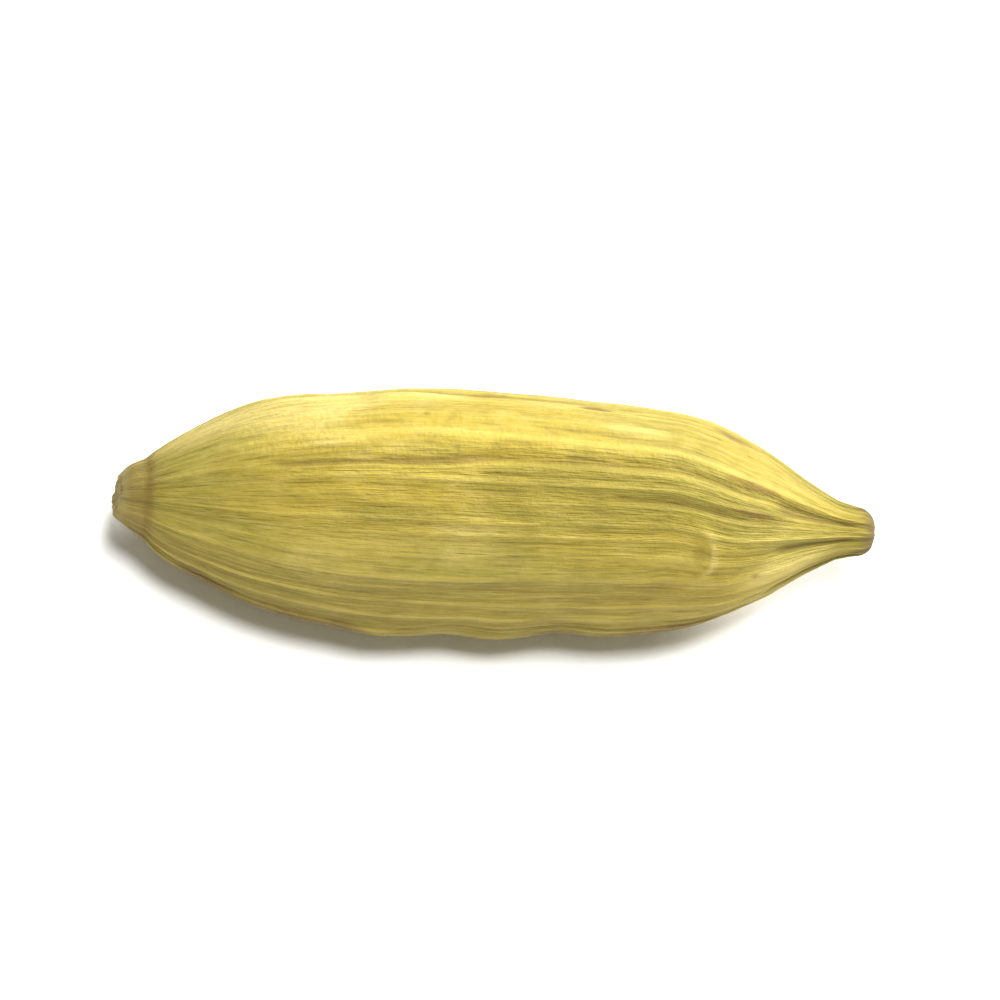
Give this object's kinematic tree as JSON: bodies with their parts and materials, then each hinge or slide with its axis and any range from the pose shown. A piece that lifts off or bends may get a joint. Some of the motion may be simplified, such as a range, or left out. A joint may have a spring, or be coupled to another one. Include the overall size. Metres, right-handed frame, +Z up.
{
  "type": "green cardamom pod",
  "caption": "Whole dried green cardamom pod: a three-sided spindle of papery husk with fine lengthwise ribs, a flower scar at one end and a stub of stalk at the other.",
  "frame": {"origin": "on the surface that the pod lies on, under the middle of its bounding box", "axes": "+X along the pod from the flower scar to the stalk, +Z up away from the surface, -Y to the front"},
  "size_m": [0.02, 0.0066, 0.0063],
  "materials": {
    "husk": "matte"
  },
  "bodies": {
    "root": {"cardamom_pod": "husk"}
  },
  "joints": []
}
